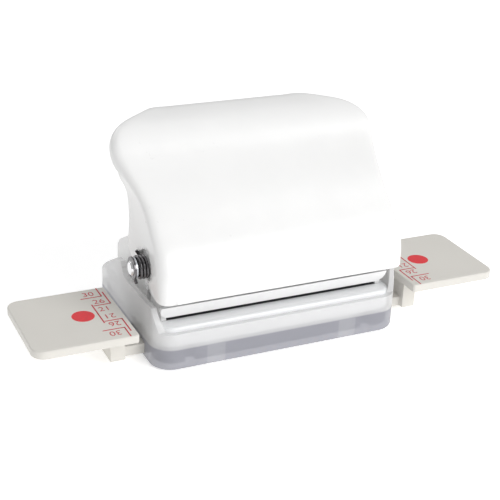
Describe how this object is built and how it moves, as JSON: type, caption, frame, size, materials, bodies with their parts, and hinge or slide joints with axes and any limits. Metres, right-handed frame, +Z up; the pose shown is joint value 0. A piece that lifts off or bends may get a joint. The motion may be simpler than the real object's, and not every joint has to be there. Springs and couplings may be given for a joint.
{
  "type": "hole punch",
  "caption": "Desk punch for loose-leaf paper: tilting white lever, row of sprung punches, paper slot, frosted chip tray below and a sliding paper guide on each side",
  "frame": {"origin": "on the table plane under the punch line, midway along the row of punches; it lies on the underside of the chip tray", "axes": "+X along the row of punches, towards the right-hand paper guide; +Y away from the paper slot, towards the back; +Z up"},
  "size_m": [0.1394, 0.0512, 0.0596],
  "materials": {
    "cover_plastic": "satin white moulding",
    "white_plastic": "smooth white moulding",
    "white_enamel": "white enamel on folded sheet steel",
    "frosted_plastic": "frosted translucent moulding",
    "cream_plastic": "fine-grained cream moulding",
    "spring_steel": "dark oiled spring wire",
    "plated_steel": "bright plated",
    "zinc_steel": "zinc plated",
    "ground_steel": "ground"
  },
  "bodies": {
    "base": {"base_housing": "white_plastic", "die_plate": "ground_steel", "guide_plate": "white_enamel", "paper_stop": "ground_steel", "frame_screws": "zinc_steel", "cheek_left": "white_enamel", "cheek_right": "white_enamel", "pivot_rod": "plated_steel", "pivot_clip": "spring_steel", "pivot_washer": "zinc_steel", "side_spring": "spring_steel", "return_spring_1": "spring_steel", "return_spring_2": "spring_steel", "return_spring_3": "spring_steel", "return_spring_4": "spring_steel", "return_spring_5": "spring_steel", "return_spring_6": "spring_steel"},
    "lever": {"lever_cover": "cover_plastic", "lever_frame": "zinc_steel", "lever_screws": "zinc_steel", "press_roller": "plated_steel"},
    "press": {"press_bar": "zinc_steel", "guide_pins": "plated_steel", "punch_1": "ground_steel", "punch_2": "ground_steel", "punch_3": "ground_steel", "punch_4": "ground_steel", "punch_5": "ground_steel", "punch_6": "ground_steel"},
    "tray": {"chip_tray": "frosted_plastic", "detent_strip_left": "spring_steel", "detent_strip_right": "spring_steel"},
    "arm_left": {"guide_arm_left": "cream_plastic"},
    "arm_right": {"guide_arm_right": "cream_plastic"}
  },
  "joints": [
    {"name": "lever_hinge", "type": "hinge", "parent": "base", "child": "lever", "pos_m": [0, -0.0046, 0.0269], "axis": [-1, 0, 0], "range_deg": [0, 36], "stiffness_Nm_per_rad": 0.3, "springref_deg": -8.59},
    {"name": "press_slide", "type": "slide", "parent": "base", "child": "press", "axis": [0, 0, -1], "range_m": [0, 0.0044], "deforming": ["return_spring_1", "return_spring_2", "return_spring_3", "return_spring_4", "return_spring_5", "return_spring_6"]},
    {"name": "tray_slide", "type": "slide", "parent": "base", "child": "tray", "axis": [0, 0, -1], "range_m": [0, 0.012]},
    {"name": "guide_left_slide", "type": "slide", "parent": "tray", "child": "arm_left", "axis": [-1, 0, 0], "range_m": [-0.0035, 0.012]},
    {"name": "guide_right_slide", "type": "slide", "parent": "tray", "child": "arm_right", "axis": [1, 0, 0], "range_m": [-0.0035, 0.012]}
  ],
  "couplings": [
    {"joint": "press_slide", "follows": "lever_hinge", "m_per_rad": 0.007}
  ]
}
